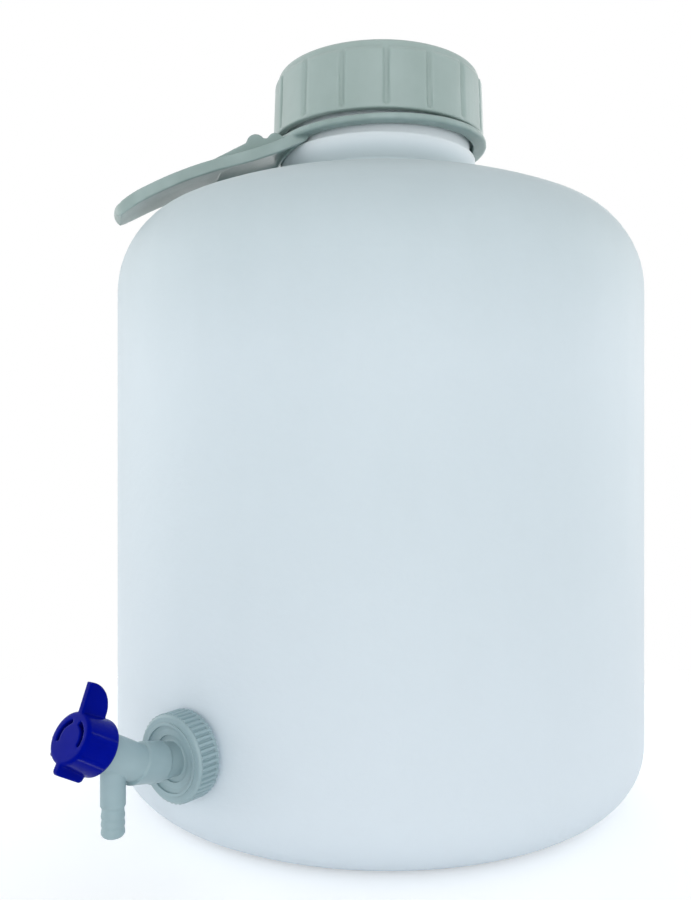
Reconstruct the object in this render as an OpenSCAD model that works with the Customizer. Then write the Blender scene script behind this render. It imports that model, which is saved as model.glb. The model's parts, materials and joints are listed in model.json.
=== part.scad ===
// Ten litre blow-moulded carboy with a carrying handle and a screwed-on
// dispensing tap.  Millimetres, +Z up.  The bottle stands on z = 0 with its
// axis on Z, and the tap points along -Y.

/* [Bottle] */
// Outside diameter of the body
body_d = 234; // [200:1:270]
// Wall thickness of the bottle
wall = 2.6; // [1.8:0.1:4]
// Radius of the rounded edge at the base
base_r = 25; // [12:1:35]
// Height at which the straight wall ends
shoulder_z = 217.5; // [170:0.5:260]
// Radius of the lower shoulder curve
shoulder_r = 41; // [34:1:46]
// Radius of the upper shoulder curve
crown_r = 27; // [20:1:34]
// Radius of the shallow dome round the neck
dome_r = 150; // [130:5:190]
// Diameter of the standing ring's inner edge
stand_d = 156; // [120:2:170]
// Height of the hollow under the base
push_up = 5; // [2:0.5:8]

/* [Neck] */
// Outside diameter of the neck
neck_d = 83.8; // [76:0.2:92]
// Length of the neck above the foot of its fillet
neck_h = 44.5; // [40:0.5:55]
// Radius of the fillet between dome and neck
neck_fillet = 5; // [3:0.5:8]
// How far the bead under the handle stands out of the neck
bead_out = 2.4; // [1.9:0.1:2.8]
// Height of the bead's top above the foot of the neck
bead_top = 11.1; // [10:0.1:12]
// Thickness of the bead
bead_h = 1.6; // [1:0.1:3]

/* [Cap] */
// Diameter of the cap over its grip pads, at the bottom
cap_d = 96.6; // [94:0.2:110]
// Height of the cap
cap_h = 29.7; // [26:0.1:30]
// How much the cap narrows from bottom to top, on the radius
cap_draft = 0.8; // [0:0.1:1.5]
// Thickness of the cap's top
cap_top_t = 2.3; // [1.8:0.1:3.5]
// Radius of the cap's rounded top edge
cap_edge_r = 2.6; // [1:0.1:3.5]
// Number of grip pads
pad_count = 16; // [8:1:24]
// How far the pads stand out of the cap's side
pad_h = 1.3; // [0.6:0.1:2]
// Width of the groove between two pads
pad_gap = 2.4; // [1.2:0.1:4]
// Direction of one of the grooves, measured from +X
pad_turn = 16.4; // [0:0.1:22.5]
// Height of the plain band below the grooves
cap_band = 1.5; // [1:0.5:6]
// Thickness of the sealing disc
liner_t = 2; // [1:0.1:3]

/* [Handle] */
// Direction of the grip, measured from +X
handle_turn = -128; // [-180:1:180]
// Angle by which the handle's ring hangs down on the grip's side
handle_tilt = 2; // [0:0.1:3]
// Distance of the middle of the handle's ring below the neck's rim
handle_down = 28.3; // [27:0.1:30]
// Clearance between the ring and the neck
ring_gap = 1.7; // [1:0.1:3]
// Width of the ring
ring_w = 6; // [4:0.5:9]
// Thickness of the ring
ring_t = 3; // [2.5:0.1:4]
// Distance from the neck's axis to the outer end of the grip
grip_reach = 118.5; // [105:0.5:125]
// Width of the grip where it meets the ring
root_w = 44; // [34:1:50]
// Width of the middle of the grip
grip_w = 35; // [28:1:40]
// Width of the grip just before its rounded end
tip_w = 28; // [26:1:34]
// Radius of the grip's rounded corners
tip_r = 12; // [8:0.5:13]
// Thickness of the grip
grip_t = 5; // [5:0.1:8]
// Slope of the middle of the grip
grip_slope = 16; // [14:0.5:20]
// Thickness of the walls round the hollow under the grip's root
grip_wall = 2.8; // [2:0.1:3.5]

/* [Outlet] */
// Height of the outlet's axis above the base
outlet_z = 41.2; // [38:0.1:50]
// Diameter of the outlet's threaded boss
boss_d = 26.2; // [22:0.2:32]
// Distance that the boss stands out of the body
boss_l = 5.4; // [5:0.1:10]
// Diameter of the hole through the boss
boss_bore_d = 18; // [14:0.5:20]
// Thickness of the flat sealing washer
washer_t = 1.5; // [0.8:0.1:3]

/* [Union nut] */
// Diameter of the nut over its ribs
nut_d = 31.4; // [30:0.2:38]
// Length of the nut
nut_l = 9.2; // [8:0.1:13]
// Number of ribs round the nut
nut_ribs = 46; // [24:1:60]
// Depth of the grooves between the ribs
nut_rib_h = 0.7; // [0.3:0.1:1]

/* [Tap] */
// Diameter of the neck that passes through the nut
tail_d = 12; // [10:0.2:14]
// Bore of the neck and of the elbow behind the barrel
tail_bore_d = 8; // [5:0.5:8.5]
// Thickness of the flange under the nut
flange_t = 2.1; // [1.5:0.1:3]
// Diameter of the elbow between the neck and the barrel
elbow_d = 14; // [13:0.2:16]
// Length of the elbow
elbow_l = 10; // [8:0.5:14]
// Angle of the elbow above the horizontal
elbow_angle = 12; // [6:0.5:15]
// Distance of the barrel's back end from the body
foot_out = 25.3; // [24:0.1:30]
// Height of the barrel's back end above the outlet's axis
foot_up = 2.8; // [2:0.1:4]
// Angle of the barrel above the horizontal
barrel_angle = 30; // [15:0.5:40]
// Diameter of the barrel
barrel_d = 12.8; // [12.4:0.2:15]
// Bore of the barrel, in which the plug turns
barrel_bore_d = 10; // [8:0.2:11]
// Distance of the outlet tube beyond the barrel's back end
outlet_out = 9.8; // [8:0.1:12]
// Diameter of the outlet tube
outlet_d = 8.3; // [7:0.1:10]
// Bore of the outlet tube
outlet_bore_d = 5; // [3:0.1:5.5]
// Height of the outlet's lower end above the base
outlet_end_z = 22.8; // [12:0.1:26]
// Length of the turned-down end with the rings
ring_end_l = 10; // [9:0.1:14]
// Diameter between the rings
ring_root_d = 7.4; // [6.5:0.1:9]
// Diameter over the rings
barb_d = 7.9; // [7.6:0.05:11]
// Distance from one ring to the next
barb_pitch = 2.7; // [2.2:0.05:4]

/* [Key] */
// Diameter of the key at its open rim
key_d = 18.8; // [17.4:0.1:24]
// Diameter of the key's closed face
key_face_d = 17; // [15:0.1:20]
// Length of the key
key_l = 13; // [12:0.1:18]
// Distance from the barrel's back end to the key's rim
key_start = 17.9; // [17:0.1:20]
// Depth of the cup that covers the barrel's end
key_cup = 7; // [4:0.1:9]
// Running clearance of the plug in the barrel, on the radius
plug_gap = 0.07; // [0.02:0.01:0.1]
// Height of the tall wing above the key
wing_h = 9.5; // [6:0.5:14]
// Thickness of the wings
wing_t = 2.4; // [1.8:0.1:3.5]
// Length of the low tab on the other side
tab_l = 11; // [6:0.5:12]
// Height of the low tab
tab_h = 3; // [1:0.1:5]

/* [Hidden] */
$fn = 96;

body_r = body_d / 2;
neck_r = neck_d / 2;

// Centres and end points of the shoulder's three tangent arcs, as [radius, z]
shoulder_a = 45.7;
crown_a = 65;
function polar(r, a) = r * [cos(a), sin(a)];
shoulder_c = [body_r - shoulder_r, shoulder_z];
crown_c = shoulder_c + polar(shoulder_r - crown_r, shoulder_a);
dome_c = crown_c + polar(crown_r - dome_r, crown_a);
fillet_x = neck_r + neck_fillet;
fillet_z = dome_c[1] + sqrt(pow(dome_r + neck_fillet, 2) - pow(fillet_x - dome_c[0], 2));
fillet_c = [fillet_x, fillet_z];
dome_a = atan2(fillet_c[1] - dome_c[1], fillet_c[0] - dome_c[0]);
neck_top_z = fillet_z + neck_h;

// Seating clearances on top of the neck and under the handle
seal_gap = 0.2;
bead_gap = 0.15;
cap_z = neck_top_z + seal_gap + liner_t + seal_gap + cap_top_t - cap_h;
bead_z = fillet_z + bead_top;
handle_z = neck_top_z - handle_down;
bead_r = neck_r + bead_out;

// Neighbouring arcs overlap by this angle, inside the larger circle, and
// share a small disc at their centres
lap = 1;
hub_r = 1;

function arc(c, r, from, to, steps = 6) =
    [for (i = [0 : steps]) c + polar(r, from + (to - from) * i / steps)];

module sector(c, r, from, to) {
    intersection() {
        translate(c) circle(r);
        union() {
            polygon([c, c + polar(2 * r, from - lap), c + polar(2 * r, to + lap)]);
            translate(c) circle(hub_r);
        }
    }
}

// Half section of the bottle's surface, moved inwards by inset, up to top
module bottle_section(inset, top) {
    inner = dome_c + polar(dome_r - inset, dome_a);
    hollow_r = (pow(stand_d / 2, 2) + pow(push_up, 2)) / (2 * push_up);
    difference() {
        union() {
            translate([0, inset]) square([body_r - base_r, base_r - inset]);
            sector([body_r - base_r, base_r], base_r - inset, -90, 0);
            translate([0, base_r]) square([body_r - inset, shoulder_z - base_r]);
            polygon([[0, dome_c[1]], dome_c, inner, [0, inner[1]]]);
            sector(shoulder_c, shoulder_r - inset, 0, shoulder_a - lap);
            sector(crown_c, crown_r - inset, shoulder_a, crown_a);
            sector(dome_c, dome_r - inset, crown_a + lap, dome_a);
            difference() {
                polygon([[0, inner[1]], inner, fillet_c, [0, fillet_c[1]]]);
                translate(fillet_c) circle(neck_fillet + inset);
            }
            translate([0, fillet_z]) square([neck_r - inset, top - fillet_z]);
        }
        translate([0, push_up - hollow_r]) circle(hollow_r + inset, $fn = 360);
    }
}

module half_plane(size) {
    translate([0, -size]) square([size, 3 * size]);
}

// Local z points out of the outlet along -Y, and local y points up
module on_outlet(out = 0) {
    translate([0, -body_r - out, outlet_z]) rotate([90, 0, 0]) children();
}

// Body of the bottle with the foot of its neck, up to the top of the bead
module bottle() {
    color([0.86, 0.91, 0.95])
    difference() {
        union() {
            rotate_extrude() intersection() {
                bottle_section(0, bead_z);
                half_plane(400);
            }
            translate([0, 0, bead_z - bead_h]) cylinder(r = bead_r, h = bead_h);
            on_outlet(-5) cylinder(d = boss_d, h = boss_l + 5);
        }
        rotate_extrude() intersection() {
            bottle_section(wall, bead_z + 1);
            half_plane(400);
        }
        on_outlet(-10) cylinder(d = boss_bore_d, h = boss_l + 11);
    }
}

// Neck above the bead, one moulding with the body and flush with its wall
module neck() {
    color([0.86, 0.91, 0.95])
    translate([0, 0, bead_z]) difference() {
        cylinder(r = neck_r, h = neck_top_z - bead_z);
        translate([0, 0, -1]) cylinder(r = neck_r - wall, h = neck_h);
    }
}

cap_r = cap_d / 2;
cap_floor_r = cap_r - pad_h;
cap_inner_r = cap_floor_r - cap_draft - 1.6;
liner_r = cap_inner_r - 0.3;

module cap() {
    shoulder_h = cap_h - cap_edge_r;
    pad_top = shoulder_h - 1;
    color([0.74, 0.79, 0.78])
    translate([0, 0, cap_z])
    difference() {
        union() {
            rotate_extrude() union() {
                polygon([[0, 0], [cap_floor_r, 0], [cap_floor_r - cap_draft, shoulder_h],
                         [cap_floor_r - cap_draft - cap_edge_r, cap_h], [0, cap_h]]);
                sector([cap_floor_r - cap_draft - cap_edge_r, shoulder_h], cap_edge_r, 0, 90);
            }
            difference() {
                rotate_extrude()
                    polygon([[cap_floor_r - 2, 0], [cap_r, 0], [cap_r - cap_draft, pad_top - pad_h],
                             [cap_floor_r - cap_draft, pad_top], [cap_floor_r - 2, pad_top]]);
                for (i = [0 : pad_count - 1])
                    rotate([0, 0, pad_turn + i * 360 / pad_count])
                        translate([cap_floor_r - 3, -pad_gap / 2, cap_band])
                            cube([6, pad_gap, cap_h]);
            }
        }
        translate([0, 0, -1]) cylinder(r = cap_inner_r, h = cap_h - cap_top_t + 1);
    }
}

module cap_liner() {
    color([0.93, 0.94, 0.93])
    translate([0, 0, neck_top_z + seal_gap]) cylinder(r = liner_r, h = liner_t);
}

// The grip's top follows two tangent arcs that meet at bend, as [distance, z]
ring_in_r = neck_r + ring_gap;
ring_out_r = ring_in_r + ring_w;
bend = [70, -11.6];
bend_up = polar(1, 90 - grip_slope);
root_arc_r = 150;
tip_arc_r = 165;
root_c = bend + root_arc_r * bend_up;
tip_c = bend - tip_arc_r * bend_up;

// Side view of the grip between two depths below its top
module grip_side(top, bottom) {
    difference() {
        sector(root_c, root_arc_r + bottom, 238, 270 - grip_slope);
        translate(root_c) circle(root_arc_r + top, $fn = 360);
    }
    difference() {
        sector(tip_c, tip_arc_r - top, 54, 90 - grip_slope);
        translate(tip_c) circle(tip_arc_r - bottom, $fn = 360);
    }
}

root_x = 36;
tip_x = grip_reach - tip_r;

// Plan of the grip, from under the ring to its rounded end
module grip_plan() {
    polygon([[root_x, -root_w / 2], [bend[0], -grip_w / 2], [tip_x, -tip_w / 2],
             [tip_x, tip_w / 2], [bend[0], grip_w / 2], [root_x, root_w / 2]]);
    for (s = [-1, 1]) translate([tip_x, s * (tip_w / 2 - tip_r)]) circle(tip_r);
    translate([tip_x, tip_r - tip_w / 2]) square([tip_r, tip_w - 2 * tip_r]);
}

hollow_end = 74;
hollow_chamfer = 4;

module hollow_plan() {
    root = root_w / 2 - grip_wall;
    end = grip_w / 2 - grip_wall;
    difference() {
        polygon([[root_x, -root], [hollow_end - hollow_chamfer, -end],
                 [hollow_end, hollow_chamfer - end], [hollow_end, end - hollow_chamfer],
                 [hollow_end - hollow_chamfer, end], [root_x, root]]);
        circle(ring_in_r + grip_wall);
    }
}

// Solid between a plan and a side view, each given as a child
module plan_and_side() {
    intersection() {
        translate([0, 0, -50]) linear_extrude(100) children(0);
        rotate([90, 0, 0]) translate([0, 0, -root_w]) linear_extrude(2 * root_w) children(1);
    }
}

// Raised pad on the grip's root with its two cross ridges: [distance, z, radius]
pad_half_w = 13;
pad_top_line = [[47, -7], [47, -2], [50.5, -1.2], [59, -2.6], [64, -5], [78, -13.2], [78, -17]];
ridges = [[59, -4.7, 4.2], [50.5, -2.6, 3.5]];

module root_pad() {
    rotate([90, 0, 0]) translate([0, 0, -pad_half_w]) linear_extrude(2 * pad_half_w) {
        polygon(pad_top_line);
        for (r = ridges) translate([r[0], r[1]]) circle(r[2]);
    }
}

module ring_section() {
    edge = 1.2;
    outer = ring_out_r - edge;
    polygon(concat([[ring_in_r - 1, -ring_t / 2]],
                   arc([outer, edge - ring_t / 2], edge, -90, 0),
                   arc([outer, ring_t / 2 - edge], edge, 0, 90),
                   [[ring_in_r - 1, ring_t / 2]]));
}

// Ends the grip's side view in a half round
module rounded_tip() {
    tip_round = grip_t / 2;
    mid_r = tip_arc_r - tip_round;
    end_x = grip_reach - tip_round;
    end_z = tip_c[1] + sqrt(pow(mid_r, 2) - pow(end_x - tip_c[0], 2));
    intersection() {
        children();
        union() {
            translate([0, -100]) square([end_x, 200]);
            translate([end_x, end_z]) circle(tip_round);
        }
    }
}

module handle() {
    color([0.66, 0.72, 0.70])
    translate([0, 0, handle_z]) rotate([0, 0, handle_turn])
    difference() {
        union() {
            rotate([0, handle_tilt, 0]) rotate_extrude() ring_section();
            plan_and_side() { grip_plan(); rounded_tip() grip_side(0, grip_t); }
            root_pad();
        }
        rotate([0, handle_tilt, 0]) translate([0, 0, -20]) cylinder(r = ring_in_r, h = 40);
        translate([0, 0, -20]) cylinder(r = bead_r + 0.4, h = 20 + bead_z + bead_gap - handle_z);
        plan_and_side() { hollow_plan(); grip_side(grip_wall, grip_t + 5); }
    }
}

// Stack of parts on the boss, measured outwards from the body's wall
washer_y = boss_l;
flange_y = washer_y + washer_t;
nut_front_y = flange_y + flange_t;
nut_wall_t = 2;
nut_y = nut_front_y + nut_wall_t - nut_l;
nut_bore_r = boss_d / 2 + 0.2;
nut_hole_r = 8.2;
flange_r = nut_bore_r - 0.5;

// Points round a ribbed rim, four to a rib
function ribbed(n, low, high) = [for (i = [0 : n - 1], k = [0 : 3])
    polar(k == 0 || k == 3 ? low : high, (i + [0.08, 0.3, 0.7, 0.92][k]) * 360 / n)];

module union_nut() {
    color([0.72, 0.78, 0.78])
    on_outlet(nut_y) difference() {
        union() {
            linear_extrude(nut_l - 1.3) polygon(ribbed(nut_ribs, nut_d / 2 - nut_rib_h, nut_d / 2));
            rotate_extrude() difference() {
                union() {
                    square([nut_d / 2 - 1.2, nut_l - 0.4]);
                    square([nut_d / 2 - 0.3, 1.2]);
                    sector([nut_d / 2 - 1.4, nut_l - 1.5], 1.1, 0, 90);
                }
                polygon([[0, nut_l - 1.6], [nut_hole_r + 1, nut_l - 1.6], [nut_d / 2 - 4, nut_l - 0.9],
                         [nut_d / 2 - 4, nut_l + 1], [0, nut_l + 1]]);
            }
            difference() {
                cylinder(r = nut_d / 2 - 3, h = nut_l);
                translate([0, 0, nut_l - 2]) cylinder(r = nut_d / 2 - 4, h = 3);
            }
        }
        translate([0, 0, -1]) cylinder(r = nut_bore_r, h = nut_l - nut_wall_t + 1);
        translate([0, 0, -1]) cylinder(r = nut_hole_r, h = nut_l + 2);
    }
}

module tap_washer() {
    color([0.88, 0.9, 0.88])
    on_outlet(washer_y) difference() {
        cylinder(r = flange_r, h = washer_t);
        translate([0, 0, -1]) cylinder(d = boss_bore_d, h = washer_t + 2);
    }
}

// Local z runs up the barrel's axis from the middle of its back end
module on_barrel(angle = barrel_angle) {
    translate([0, -body_r - foot_out, outlet_z + foot_up]) rotate([90 - angle, 0, 0]) children();
}

barrel_end = key_start + key_cup - 0.4;
barrel_back_t = 2.6;
barrel_edge = 0.6;
plug_r = barrel_bore_d / 2 - plug_gap;
plug_start = barrel_back_t + 0.4;
port_s = outlet_out / cos(barrel_angle);
bead_s = barrel_end - 3;
outlet_y = -body_r - foot_out - outlet_out;
outlet_top_z = outlet_z + foot_up + outlet_out * tan(barrel_angle);
elbow_in = 3.5;
pilot_l = 5;

module elbow() {
    difference() {
        on_barrel(elbow_angle) translate([0, 0, -elbow_l]) cylinder(d = elbow_d, h = elbow_l + elbow_in);
        on_barrel() difference() {
            translate([0, 0, barrel_edge]) cylinder(d = 2 * elbow_d, h = elbow_in + 5);
            cylinder(d = barrel_d - 0.4, h = elbow_in + 10);
        }
    }
}

// Rings round the outlet's lower end, each with a steep underside
module outlet_ring() {
    rise = 0.4;
    land = 0.7;
    fall = 1.3;
    cylinder(d1 = ring_root_d - 0.2, d2 = barb_d, h = rise);
    translate([0, 0, rise]) cylinder(d = barb_d, h = land);
    translate([0, 0, rise + land]) cylinder(d1 = barb_d, d2 = ring_root_d - 0.1, h = fall);
}

module outlet_tube() {
    tip = 0.7;
    translate([0, outlet_y, outlet_end_z]) {
        translate([0, 0, ring_end_l]) cylinder(d = outlet_d, h = outlet_top_z - outlet_end_z - ring_end_l);
        translate([0, 0, tip]) cylinder(d = ring_root_d, h = ring_end_l);
        cylinder(d1 = ring_root_d - 1, d2 = ring_root_d, h = tip);
        for (i = [0 : 2]) translate([0, 0, tip + i * barb_pitch]) outlet_ring();
    }
}

module tap_body() {
    tail_end = foot_out - 5;
    color([0.70, 0.78, 0.79])
    difference() {
        union() {
            on_outlet(flange_y) cylinder(r = flange_r, h = flange_t);
            on_outlet(flange_y - pilot_l) cylinder(d = boss_bore_d - 0.6, h = pilot_l + 1);
            on_outlet(flange_y) cylinder(d = tail_d, h = tail_end - flange_y);
            elbow();
            on_barrel() cylinder(d1 = barrel_d - 2 * barrel_edge, d2 = barrel_d, h = barrel_edge);
            on_barrel() translate([0, 0, barrel_edge]) cylinder(d = barrel_d, h = barrel_end - barrel_edge);
            outlet_tube();
        }
        on_outlet(flange_y - pilot_l - 1) cylinder(d = tail_bore_d, h = tail_end + 1 - flange_y + pilot_l);
        on_barrel(elbow_angle) translate([0, 0, 1.5 - elbow_l])
            cylinder(d = tail_bore_d - 0.4, h = elbow_l + 2);
        on_barrel() translate([0, 0, barrel_back_t]) cylinder(d = barrel_bore_d, h = barrel_end);
        on_barrel() translate([0, 0, bead_s - 0.7]) cylinder(r = barrel_bore_d / 2 + 0.4, h = 1.4);
        translate([0, outlet_y, outlet_end_z - 1])
            cylinder(d = outlet_bore_d, h = outlet_top_z - outlet_end_z + 1);
    }
}

key_end = key_start + key_l;
key_rim_r = key_d / 2;
key_face_r = key_face_d / 2;
rim_round = 1.3;
face_round = 1;
key_slant = atan2(key_rim_r - key_face_r, key_l);
key_rib_r = 0.9;
key_rib_turns = [18, -32, 188, 226];
key_slot = [4.6, 5.9];
key_slot_turns = [108, -20];
key_slot_angle = 92;
key_slot_depth = 2.4;

module key_side() {
    polygon(concat([[0, key_start]], arc([key_rim_r - rim_round, key_start + rim_round], rim_round, -90, 0),
                   arc([key_face_r - face_round, key_end - face_round], face_round, 0, 90),
                   [[0, key_end]]));
}

// Side view of the tall wing, which leans over the face, as [along the barrel, height]
module wing_side() {
    lean = 8;
    back = 1.2;
    rise = 1;
    intersection() {
        translate([key_end - back, key_face_r + rise]) circle(wing_h - rise);
        translate([key_end, key_face_r]) rotate(-lean)
            translate([-key_l, 1 - key_face_r]) square([key_l, key_d + wing_h]);
    }
}

// Side view of the low tab with rounded lower corners
module tab_side() {
    corner = 1.5;
    low = key_face_r + tab_h;
    for (x = [corner, tab_l - corner]) translate([key_end - x, corner - low]) circle(corner);
    translate([key_end - tab_l + corner, -low]) square([tab_l - 2 * corner, low - barrel_d / 2]);
    translate([key_end - tab_l, corner - low]) square([tab_l, low - corner - barrel_d / 2]);
}

module key_slots() {
    for (turn = key_slot_turns) rotate([0, 0, turn]) linear_extrude(key_slot_depth + 1) intersection() {
        difference() { circle(key_slot[1]); circle(key_slot[0]); }
        polygon([[0, 0], 2 * polar(key_slot[1], 0), 2 * polar(key_slot[1], key_slot_angle / 2),
                 2 * polar(key_slot[1], key_slot_angle)]);
    }
}

module tap_key() {
    flow_d = outlet_bore_d;
    color([0, 0.08, 0.6])
    on_barrel() difference() {
        union() {
            difference() {
                union() {
                    rotate_extrude() key_side();
                    rotate([0, -90, 0]) translate([0, 0, -wing_t / 2]) linear_extrude(wing_t) {
                        wing_side();
                        tab_side();
                    }
                    for (turn = key_rib_turns) rotate([0, 0, turn])
                        translate([key_rim_r - key_rib_r + 0.4, 0, key_start + rim_round])
                            rotate([0, -key_slant, 0]) cylinder(r = key_rib_r, h = key_l - rim_round - 0.7);
                }
                translate([0, 0, key_start - 1]) cylinder(r = barrel_d / 2 + 0.3, h = key_cup + 1);
            }
            translate([0, 0, plug_start]) cylinder(r = plug_r, h = key_start + key_cup + 1 - plug_start);
            translate([0, 0, bead_s - 0.5]) cylinder(r = barrel_bore_d / 2 + 0.25, h = 1);
        }
        translate([0, 0, plug_start - 1]) cylinder(d = flow_d, h = port_s + 1 - plug_start + flow_d / 2);
        translate([0, 0, port_s]) rotate([0, -90, 0]) cylinder(d = flow_d, h = plug_r + 1);
        translate([0, 0, key_end - key_slot_depth]) key_slots();
    }
}

bottle();
neck();
cap();
cap_liner();
handle();
union_nut();
tap_washer();
tap_body();
tap_key();
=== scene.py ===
import json
import math

import bmesh
import bpy
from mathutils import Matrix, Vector
from mathutils.bvhtree import BVHTree


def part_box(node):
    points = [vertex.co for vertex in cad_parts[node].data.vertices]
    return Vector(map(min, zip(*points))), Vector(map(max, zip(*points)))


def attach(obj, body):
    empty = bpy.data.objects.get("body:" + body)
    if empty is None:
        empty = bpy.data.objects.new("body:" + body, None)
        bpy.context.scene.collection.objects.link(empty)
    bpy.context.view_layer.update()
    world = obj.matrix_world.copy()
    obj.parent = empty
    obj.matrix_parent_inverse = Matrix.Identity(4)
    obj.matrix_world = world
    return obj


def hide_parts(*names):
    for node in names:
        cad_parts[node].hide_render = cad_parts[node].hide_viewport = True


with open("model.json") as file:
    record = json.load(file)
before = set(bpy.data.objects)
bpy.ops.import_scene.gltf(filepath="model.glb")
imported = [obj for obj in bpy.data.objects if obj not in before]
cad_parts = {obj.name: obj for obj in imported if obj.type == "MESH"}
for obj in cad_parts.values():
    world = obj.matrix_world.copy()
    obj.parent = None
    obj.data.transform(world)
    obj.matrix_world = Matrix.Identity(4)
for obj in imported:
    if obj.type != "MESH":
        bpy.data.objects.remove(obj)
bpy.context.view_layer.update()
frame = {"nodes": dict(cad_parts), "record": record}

MM = 0.001


# Shader building

MIX_FIRST_COLOUR, MIX_SECOND_COLOUR = 6, 7
MIX_COLOUR_RESULT = 2


class Number:
    """A socket that carries a number. Arithmetic on it adds Math nodes."""

    def __init__(self, finish, socket):
        self.finish = finish
        self.socket = socket

    def maths(self, operation, *values, clamp=False):
        node = self.finish.node("ShaderNodeMath", {"operation": operation, "use_clamp": clamp},
                                dict(enumerate(values)))
        return Number(self.finish, node.outputs[0])

    def __add__(self, other):
        return self.maths("ADD", self, other)

    def __radd__(self, other):
        return self.maths("ADD", other, self)

    def __sub__(self, other):
        return self.maths("SUBTRACT", self, other)

    def __rsub__(self, other):
        return self.maths("SUBTRACT", other, self)

    def __mul__(self, other):
        return self.maths("MULTIPLY", self, other)

    def __rmul__(self, other):
        return self.maths("MULTIPLY", other, self)

    def limited(self):
        """The number kept between 0 and 1."""
        return self.maths("ADD", self, 0.0, clamp=True)

    def step(self, low, high):
        """Smooth step from 0 at low to 1 at high."""
        node = self.finish.node("ShaderNodeMapRange", {"interpolation_type": "SMOOTHSTEP"},
                                {"Value": self, "From Min": low, "From Max": high})
        return Number(self.finish, node.outputs["Result"])

    def root(self):
        return self.maths("SQRT", self)


class Finish:
    """A material's node tree, built from one method."""

    def __init__(self, name):
        self.material = bpy.data.materials.new(name)
        self.material.use_nodes = True
        self.tree = self.material.node_tree
        self.tree.nodes.clear()

    def node(self, kind, settings=None, values=None):
        """Adds a node: its settings first, then the values or links of its sockets."""
        made = self.tree.nodes.new(kind)
        for name, setting in (settings or {}).items():
            setattr(made, name, setting)
        for key, value in (values or {}).items():
            if isinstance(value, Number):
                self.tree.links.new(value.socket, made.inputs[key])
            elif isinstance(value, bpy.types.NodeSocket):
                self.tree.links.new(value, made.inputs[key])
            else:
                made.inputs[key].default_value = value
        return made

    def place(self):
        return self.node("ShaderNodeTexCoord").outputs["Object"]

    def stretched(self, scale):
        """Object coordinates multiplied by a scale along each axis."""
        return self.node("ShaderNodeVectorMath", {"operation": "MULTIPLY"},
                         {0: self.place(), 1: scale}).outputs[0]

    def axes(self):
        """The three object coordinates, in metres."""
        parts = self.node("ShaderNodeSeparateXYZ", values={0: self.place()})
        return [Number(self, parts.outputs[i]) for i in range(3)]

    def noise(self, per_metre, detail, roughness, scale=(1, 1, 1)):
        """Noise about 0 that runs from about -1 to 1."""
        node = self.node("ShaderNodeTexNoise", {"noise_dimensions": "3D"},
                         {"Vector": self.stretched(scale), "Scale": per_metre,
                          "Detail": detail, "Roughness": roughness})
        return Number(self, node.outputs["Fac"]) * 2.0 - 1.0

    def mix(self, share, first, second):
        """Colour between first and second."""
        node = self.node("ShaderNodeMix", {"data_type": "RGBA", "blend_type": "MIX"},
                         {"Factor": share, MIX_FIRST_COLOUR: first, MIX_SECOND_COLOUR: second})
        return node.outputs[MIX_COLOUR_RESULT]

    def eased(self, radius):
        """Normal of the surface with its edges rounded off."""
        return self.node("ShaderNodeBevel", {"samples": 4}, {"Radius": radius}).outputs[0]

    def edge(self, radius, gain):
        """Mask of the edges: 1 along an edge, 0 on flat and gently curved stretches."""
        geometry = self.node("ShaderNodeNewGeometry")
        dot = self.node("ShaderNodeVectorMath", {"operation": "DOT_PRODUCT"},
                        {0: self.eased(radius), 1: geometry.outputs["Normal"]})
        return ((1 - Number(self, dot.outputs["Value"])) * gain).limited()

    def crevice(self, reach):
        """Mask of inner corners and grooves: 1 deep inside, 0 in the open."""
        node = self.node("ShaderNodeAmbientOcclusion", {"samples": 6}, {"Distance": reach})
        return 1 - Number(self, node.outputs["AO"])

    def relief(self, height, depth, normal=None):
        """Normal of the surface raised by a height times a depth in metres."""
        values = {"Height": height, "Distance": depth, "Strength": 1.0}
        if normal is not None:
            values["Normal"] = normal
        return self.node("ShaderNodeBump", values=values).outputs[0]

    def plastic(self, **sockets):
        """Closes the material with a plastic surface."""
        values = {name.replace("_", " "): value for name, value in sockets.items()}
        surface = self.node("ShaderNodeBsdfPrincipled", values=values)
        self.node("ShaderNodeOutputMaterial", values={"Surface": surface.outputs[0]})
        return self.material


def shade(red, green, blue):
    """Linear colour of a paint swatch given in 0 to 255."""
    def linear(value):
        part = value / 255
        return part / 12.92 if part <= 0.04045 else ((part + 0.055) / 1.055) ** 2.4
    return (linear(red), linear(green), linear(blue), 1.0)


# Finishes. Each pair gives the heights between which one of the bottle's colours comes or goes:
# the painted glow at the foot, the dome's grey with painted shade, the painted light on the
# neck.

FOOT_GLOW_ENDS = (0.0, 0.15)
DOME_TONE_STARTS = (0.17, 0.262)
DOME_TONE_ENDS = (0.272, 0.281)
NECK_LIGHT_STARTS = (0.273, 0.283)


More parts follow.
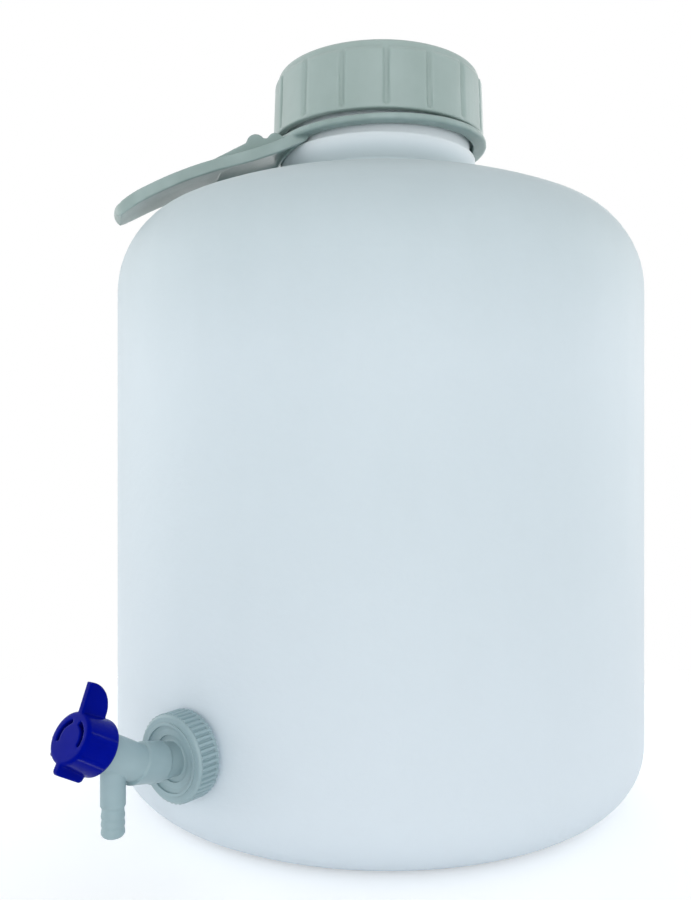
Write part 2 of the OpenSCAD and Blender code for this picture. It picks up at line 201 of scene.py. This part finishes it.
def blown_bottle_plastic():
    """Milky blow-moulded polythene: cloudy, streaked and scuffed, with a greyer dome that is
    partly painted shade, a painted glow at the foot and painted light on the neck.
    """
    wall, dome_grey_and_shade = shade(216, 229, 236), shade(188, 203, 206)
    foot_painted_glow, neck_painted_light = shade(230, 241, 250), shade(236, 243, 246)
    scuff_pale = shade(226, 234, 238)
    f = Finish("blown_bottle_plastic")
    height = f.axes()[2]
    cloud = f.noise(16, 3, 0.55)
    streak = f.noise(70, 2, 0.5, scale=(1, 1, 0.12))
    # Painted shade: the dome is mixed towards grey. This is partly the thicker wall's own tone
    # and partly shade painted where less light reaches it under the cap.
    dome = height.step(*DOME_TONE_STARTS) * (1 - height.step(*DOME_TONE_ENDS))
    grey = (dome * 0.85 + cloud * 0.12 + streak * 0.07).limited()
    colour = f.mix(grey, wall, dome_grey_and_shade)
    # Painted light: the foot is made paler, a glow painted where light from the floor comes
    # through the wall.
    colour = f.mix((1 - height.step(*FOOT_GLOW_ENDS)) * 0.75, colour, foot_painted_glow)
    # Painted light: the neck is made paler, painted against the shade that the cap casts on it.
    colour = f.mix(height.step(*NECK_LIGHT_STARTS) * 0.8, colour, neck_painted_light)
    scuff = (f.noise(260, 4, 0.7, scale=(1, 1, 0.5)) - 0.45).limited() * 0.5
    colour = f.mix(scuff, colour, scuff_pale)
    grain = f.noise(1500, 2, 0.6)
    peel = f.noise(130, 2, 0.5)
    skin = f.relief(grain, 0.02 * MM, f.relief(peel, 0.12 * MM))
    dull = 0.52 + cloud * 0.05 + scuff * 0.3
    return f.plastic(Base_Color=colour, Roughness=dull, Normal=skin, IOR=1.5,
                     Specular_IOR_Level=0.25, Subsurface_Weight=0.3, Subsurface_Scale=8 * MM,
                     Subsurface_Radius=(1.0, 1.0, 1.0))


def moulded_plastic(name, body, edge_highlight, flow_and_shade_tone, dullness, grain_depth, rounding,
                    gloss=0.4, gloss_tint=(1, 1, 1, 1), shade_reach=3 * MM, glow=0.0):
    """Injection-moulded plastic: fine grain, flow marks, painted highlights along its edges and
    painted shade in its grooves and recesses.
    """
    f = Finish(name)
    flow = f.noise(45, 3, 0.6)
    colour = f.mix((0.5 + flow * 0.35).limited(), body, flow_and_shade_tone)
    # Painted shade: darker in grooves, recesses and inner corners.
    colour = f.mix(f.crevice(shade_reach) * 0.6, colour, flow_and_shade_tone)
    # Painted highlight: paler along edges and rib crests, where light catches them.
    colour = f.mix(f.edge(rounding, gain=2.2) * 0.55, colour, edge_highlight)
    grain = f.noise(2200, 2, 0.6)
    wear = (f.noise(330, 4, 0.7) - 0.35).limited()
    skin = f.relief(grain, grain_depth, f.relief(flow, 0.1 * MM, f.eased(rounding)))
    dull = dullness + flow * 0.04 + wear * 0.25
    return f.plastic(Base_Color=colour, Roughness=dull, Normal=skin, IOR=1.49,
                     Specular_IOR_Level=gloss, Specular_Tint=gloss_tint,
                     Subsurface_Weight=glow, Subsurface_Scale=5 * MM,
                     Subsurface_Radius=(1.0, 1.0, 1.0))


def make_finishes():
    # In each moulded finish the edge colour is a painted highlight. The dark colour serves both
    # the real flow marks and the painted shade in grooves and recesses.
    return {
        "bottle_plastic": blown_bottle_plastic(),
        "cap_plastic": moulded_plastic(
            "cap_plastic", body=shade(172, 189, 186), edge_highlight=shade(202, 215, 215),
            flow_and_shade_tone=shade(148, 166, 160), dullness=0.36, grain_depth=0.03 * MM,
            rounding=0.5 * MM, glow=0.25),
        "handle_plastic": moulded_plastic(
            "handle_plastic", body=shade(184, 201, 200), edge_highlight=shade(232, 239, 240),
            flow_and_shade_tone=shade(112, 134, 127), dullness=0.30, grain_depth=0.02 * MM,
            rounding=0.7 * MM, gloss=0.22, shade_reach=7 * MM, glow=0.25),
        "tap_plastic": moulded_plastic(
            "tap_plastic", body=shade(176, 198, 203), edge_highlight=shade(212, 226, 229),
            flow_and_shade_tone=shade(132, 158, 164), dullness=0.36, grain_depth=0.02 * MM,
            rounding=0.25 * MM, shade_reach=1.6 * MM),
        "key_plastic": moulded_plastic(
            "key_plastic", body=shade(0, 20, 172), edge_highlight=shade(4, 60, 214),
            flow_and_shade_tone=shade(0, 4, 92), dullness=0.24, grain_depth=0.015 * MM,
            rounding=0.45 * MM, gloss=0.08, gloss_tint=(0.02, 0.09, 1, 1), shade_reach=2 * MM),
        "seal": moulded_plastic(
            "seal", body=shade(226, 228, 224), edge_highlight=shade(238, 239, 236),
            flow_and_shade_tone=shade(198, 201, 197), dullness=0.62, grain_depth=0.03 * MM,
            rounding=0.25 * MM),
    }


NODE_FINISH = {
    "bottle": "bottle_plastic", "neck": "bottle_plastic",
    "cap": "cap_plastic", "cap_liner": "seal",
    "handle": "handle_plastic",
    "union_nut": "tap_plastic", "tap_washer": "seal",
    "tap_body": "tap_plastic", "tap_key": "key_plastic",
}


def dress(piece, finish):
    piece.data.materials.clear()
    piece.data.materials.append(finish)


# Pieces

BODY_OF = {node: body for body, nodes in frame["record"]["behaviour"]["bodies"].items()
           for node in nodes}

NECK_R = 41.9 * MM
NECK_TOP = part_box("neck")[1][2]
BEAD_R = 44.4 * MM
BEAD_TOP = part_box("neck")[0][2]
CAP_INNER_R = 44.6 * MM

THREAD_PITCH = 6 * MM
THREAD_DEPTH = 1.5 * MM
THREAD_FOOT = 2.5 * MM
THREAD_CREST = 0.9 * MM
THREAD_ROOT_IN_WALL = 0.4 * MM
THREAD_RUN_OUT = 0.12
THREAD_TURNS = 2.5
THREAD_BELOW_RIM = 4.5 * MM
STEPS_PER_TURN = 72

RIDGE_TURN = 125
RIDGE_STEPS = 240
RIDGE_LOWEST = -57
RIDGE_SWEEP = 123
RIDGE_END_STEPS = 8
RIDGE_RISE = 0.18 * MM
RIDGE_HALF = 0.45 * MM
RIDGE_IN_WALL = 0.1 * MM
BODY_MIDDLE = Vector((0, 0, 150 * MM))
CLEAR_OF_BODY = 0.3

SLOPE_LENGTH = 9.5 * MM
SLOPE_STEPS = 16
SLOPE_IN_WALL = 0.6 * MM
RING_SIDES = 192


def linked(name, data):
    """New object in the scene."""
    made = bpy.data.objects.new(name, data)
    bpy.context.scene.collection.objects.link(made)
    return made


def add_piece(name, mesh, body, finish_name):
    """Puts a mesh into the scene as a piece that moves with a body."""
    piece = linked(name, mesh)
    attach(piece, body)
    dress(piece, finishes[finish_name])
    return piece


def softened(node_name, voxel, rounds):
    """Copy of a moulded solid with its corners rounded off, which stands for the solid."""
    finish_name = NODE_FINISH[node_name]
    mesh = frame["nodes"][node_name].data.copy()
    mesh.name = "moulded_" + node_name
    shape = bmesh.new()
    shape.from_mesh(mesh)
    bmesh.ops.remove_doubles(shape, verts=shape.verts, dist=0.001 * MM)
    shape.to_mesh(mesh)
    shape.free()
    piece = linked("moulded_" + node_name, mesh)
    remesh = piece.modifiers.new("even_skin", "REMESH")
    remesh.mode = "VOXEL"
    remesh.voxel_size = voxel
    smooth = piece.modifiers.new("round_corners", "SMOOTH")
    smooth.factor = 0.5
    smooth.iterations = rounds
    solid = piece.evaluated_get(bpy.context.evaluated_depsgraph_get())
    skin = bpy.data.meshes.new_from_object(solid)
    piece.modifiers.clear()
    piece.data = skin
    skin.shade_smooth()
    dress(piece, finishes[finish_name])
    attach(piece, BODY_OF[node_name])
    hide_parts(node_name)


def mesh_over(name, rows, closed=False):
    """Mesh over rows of points; a closed one has no ends, any other is capped at both."""
    shape = bmesh.new()
    rings = [[shape.verts.new(point) for point in row] for row in rows]
    pairs = list(zip(rings, rings[1:]))
    if closed:
        pairs.append((rings[-1], rings[0]))
    for low, high in pairs:
        for i in range(len(low)):
            k = (i + 1) % len(low)
            shape.faces.new((low[i], low[k], high[k], high[i]))
    if not closed:
        shape.faces.new(rings[0])
        shape.faces.new(rings[-1][::-1])
    bmesh.ops.recalc_face_normals(shape, faces=shape.faces)
    mesh = bpy.data.meshes.new(name)
    shape.to_mesh(mesh)
    shape.free()
    return mesh


def turned(section, angle, z=0.0):
    """Points of a (radius, height) section at an angle about the bottle's axis."""
    return [(r * math.cos(angle), r * math.sin(angle), z + up) for r, up in section]


def screw_thread(name, body, finish_name, root_r, crest_r, start):
    """Helical ridge of a right-handed thread; its ends run out into the wall."""
    steps = int(THREAD_TURNS * STEPS_PER_TURN)
    buried = THREAD_ROOT_IN_WALL if crest_r > root_r else -THREAD_ROOT_IN_WALL
    rows = []
    for i in range(steps + 1):
        share = i / steps
        fade = min(1.0, share * THREAD_TURNS / THREAD_RUN_OUT,
                   (1 - share) * THREAD_TURNS / THREAD_RUN_OUT)
        top = root_r + (crest_r - root_r) * fade
        section = [(root_r - buried, -THREAD_FOOT / 2), (root_r, -THREAD_FOOT / 2),
                   (top, -THREAD_CREST / 2), (top, THREAD_CREST / 2),
                   (root_r, THREAD_FOOT / 2), (root_r - buried, THREAD_FOOT / 2)]
        rows.append(turned(section, share * THREAD_TURNS * math.tau,
                           start + share * THREAD_TURNS * THREAD_PITCH))
    add_piece(name, mesh_over(name, rows), body, finish_name)


def cut_threads():
    """The neck's thread and the cap's, half a pitch apart so that they mesh."""
    start = NECK_TOP - THREAD_BELOW_RIM - THREAD_TURNS * THREAD_PITCH
    screw_thread("neck_thread", "bottle", "bottle_plastic",
                 NECK_R, NECK_R + THREAD_DEPTH, start)
    screw_thread("cap_thread", "cap", "cap_plastic",
                 CAP_INNER_R, CAP_INNER_R - THREAD_DEPTH, start - THREAD_PITCH / 2)


def raise_parting_line():
    """Fine ridge where the mould's halves met, over the foot, the walls and the dome."""
    bottle = BVHTree.FromObject(frame["nodes"]["bottle"], bpy.context.evaluated_depsgraph_get())
    turn = math.radians(RIDGE_TURN)
    out = Vector((math.sin(turn), -math.cos(turn), 0))
    across = Vector((out.y, -out.x, 0))
    for side, name in ((1, "parting_line_right"), (-1, "parting_line_left")):
        rows = []
        for step in range(RIDGE_STEPS + 1):
            lean = math.radians(RIDGE_LOWEST + RIDGE_SWEEP * step / RIDGE_STEPS)
            ray = out * side * math.cos(lean) + Vector((0, 0, math.sin(lean)))
            place, normal = bottle.ray_cast(BODY_MIDDLE + ray * CLEAR_OF_BODY, -ray)[:2]
            rise = RIDGE_RISE * min(1, step / RIDGE_END_STEPS,
                                    (RIDGE_STEPS - step) / RIDGE_END_STEPS)
            section = [(-RIDGE_HALF, -RIDGE_IN_WALL), (-RIDGE_HALF, 0.0),
                       (-RIDGE_HALF / 2, rise), (RIDGE_HALF / 2, rise),
                       (RIDGE_HALF, 0.0), (RIDGE_HALF, -RIDGE_IN_WALL)]
            rows.append([place + across * x + normal * y for x, y in section])
        mesh = mesh_over(name, rows)
        mesh.shade_smooth()
        add_piece(name, mesh, "bottle", "bottle_plastic")


def turn_bead_slope():
    """The underside of the neck's bead runs out into the neck instead of ending in a corner."""
    low, high = BEAD_TOP - SLOPE_LENGTH, BEAD_TOP - 0.35 * MM
    section = [(NECK_R - SLOPE_IN_WALL, low - 0.5 * MM)]
    for i in range(SLOPE_STEPS + 1):
        share = i / SLOPE_STEPS
        out = share * share * (3 - 2 * share) * (BEAD_R - NECK_R)
        section.append((NECK_R + out, low + share * (high - low)))
    lip = BEAD_TOP + 0.05 * MM
    section += [(BEAD_R - 0.12 * MM, BEAD_TOP), (BEAD_R - 0.4 * MM, lip),
                (NECK_R - SLOPE_IN_WALL, lip)]
    rows = [turned(section, math.tau * i / RING_SIDES) for i in range(RING_SIDES)]
    mesh = mesh_over("bead_slope", rows, closed=True)
    mesh.shade_smooth()
    add_piece("bead_slope", mesh, "bottle", "bottle_plastic")


# Studio

VIEW_TURN = 34.9
VIEW_DISTANCE = 417.2 * MM
VIEW_HEIGHT = 149.8 * MM
AIM_LEFT = 2.08
AIM_DOWN = 0.046
LAMP_AIM = Vector((0, 0, 0.15))

WHITE = (1, 1, 1, 1)
LOW_LIGHT = (0.84, 0.86, 0.88, 1)
OVERHEAD_LIGHT = (0.46, 0.47, 0.48, 1)
LIGHT_DIMS = (-0.3, 0.9)
PAPER_TONES = ((0.93, 0.94, 0.95, 1), (0.97, 0.975, 0.98, 1))
FLOOR_RADIUS = 2.0
FLOOR_FADES = (0.13, 0.3)
FLOOR_LIFT = 0.3


def round_the_bottle(turn, distance, height):
    """Place at a turn about the bottle's axis, in degrees from the tap."""
    angle = math.radians(turn)
    return (distance * math.sin(angle), -distance * math.cos(angle), height)


def set_camera():
    lens = bpy.data.cameras.new("camera")
    lens.lens = 36
    lens.sensor_width = 36
    lens.clip_start = 10 * MM
    camera = linked("camera", lens)
    camera.location = round_the_bottle(VIEW_TURN, VIEW_DISTANCE, VIEW_HEIGHT)
    camera.rotation_euler = (math.radians(90 - AIM_DOWN), 0, math.radians(VIEW_TURN + AIM_LEFT))
    bpy.context.scene.camera = camera


def softbox(name, turn, height, distance, size, watts):
    """Square area lamp aimed at the middle of the bottle; turn is measured from the camera."""
    lamp = bpy.data.lights.new(name, "AREA")
    lamp.shape = "SQUARE"
    lamp.size = size
    lamp.energy = watts
    made = linked(name, lamp)
    made.location = round_the_bottle(VIEW_TURN + turn, distance, height)
    made.rotation_euler = (LAMP_AIM - made.location).to_track_quat("-Z", "Y").to_euler()


def seen_directly(f):
    """1 for camera, glossy and transmission rays, 0 for the light that falls on the object."""
    path = f.node("ShaderNodeLightPath")
    camera, glossy, transmission = (
        Number(f, path.outputs[name])
        for name in ("Is Camera Ray", "Is Glossy Ray", "Is Transmission Ray"))
    return (camera + glossy + transmission).limited()


class WorldFinish(Finish):
    """The same node builder on the world's tree."""

    def __init__(self, world):
        world.use_nodes = True
        self.tree = world.node_tree
        self.tree.nodes.clear()


def set_world():
    """White to look at; as a light, a white sweep that dims overhead."""
    world = bpy.data.worlds.new("white_studio")
    bpy.context.scene.world = world
    f = WorldFinish(world)
    direction = f.node("ShaderNodeTexCoord").outputs["Generated"]
    up = Number(f, f.node("ShaderNodeSeparateXYZ", values={0: direction}).outputs[2])
    light = f.mix(up.step(*LIGHT_DIMS), LOW_LIGHT, OVERHEAD_LIGHT)
    colour = f.mix(seen_directly(f), light, WHITE)
    backdrop = f.node("ShaderNodeBackground", values={"Color": colour, "Strength": 1.0})
    f.node("ShaderNodeOutputWorld", values={"Surface": backdrop.outputs[0]})


def lay_floor():
    """A pale floor that keeps the soft shadow and fades into the white surroundings."""
    mesh = bpy.data.meshes.new("floor")
    shape = bmesh.new()
    bmesh.ops.create_circle(shape, cap_ends=True, segments=64, radius=FLOOR_RADIUS)
    shape.to_mesh(mesh)
    shape.free()
    floor = linked("floor", mesh)
    f = Finish("pale_floor")
    x, y = f.axes()[:2]
    distance = (x * x + y * y).root()
    paper = f.noise(220, 2, 0.5) * 0.004
    matt = f.node("ShaderNodeBsdfDiffuse",
                  values={"Color": f.mix((0.5 + paper).limited(), *PAPER_TONES)})
    lift = f.node("ShaderNodeEmission",
                  values={"Color": WHITE, "Strength": seen_directly(f) * FLOOR_LIFT})
    near = f.node("ShaderNodeAddShader", values={0: matt.outputs[0], 1: lift.outputs[0]})
    clear = f.node("ShaderNodeBsdfTransparent")
    fade = distance.step(*FLOOR_FADES) * seen_directly(f)
    blend = f.node("ShaderNodeMixShader",
                   values={0: fade, 1: near.outputs[0], 2: clear.outputs[0]})
    f.node("ShaderNodeOutputMaterial", values={"Surface": blend.outputs[0]})
    dress(floor, f.material)


def set_studio():
    set_camera()
    set_world()
    lay_floor()
    softbox("left_box", turn=-100, height=0.35, distance=1.0, size=0.7, watts=2.6)
    softbox("right_box", turn=110, height=0.35, distance=1.0, size=0.7, watts=2.2)
    softbox("front_box", turn=4, height=0.40, distance=1.3, size=0.9, watts=5.4)
    softbox("back_box", turn=172, height=0.55, distance=1.2, size=0.8, watts=3.0)
    bpy.context.scene.view_settings.view_transform = "Standard"


finishes = make_finishes()
for node_name, finish_name in NODE_FINISH.items():
    dress(frame["nodes"][node_name], finishes[finish_name])
softened("cap", voxel=0.68 * MM, rounds=2)
softened("handle", voxel=0.5 * MM, rounds=4)
softened("tap_body", voxel=0.3 * MM, rounds=1)
softened("tap_key", voxel=0.25 * MM, rounds=3)
raise_parting_line()
turn_bead_slope()
cut_threads()
set_studio()
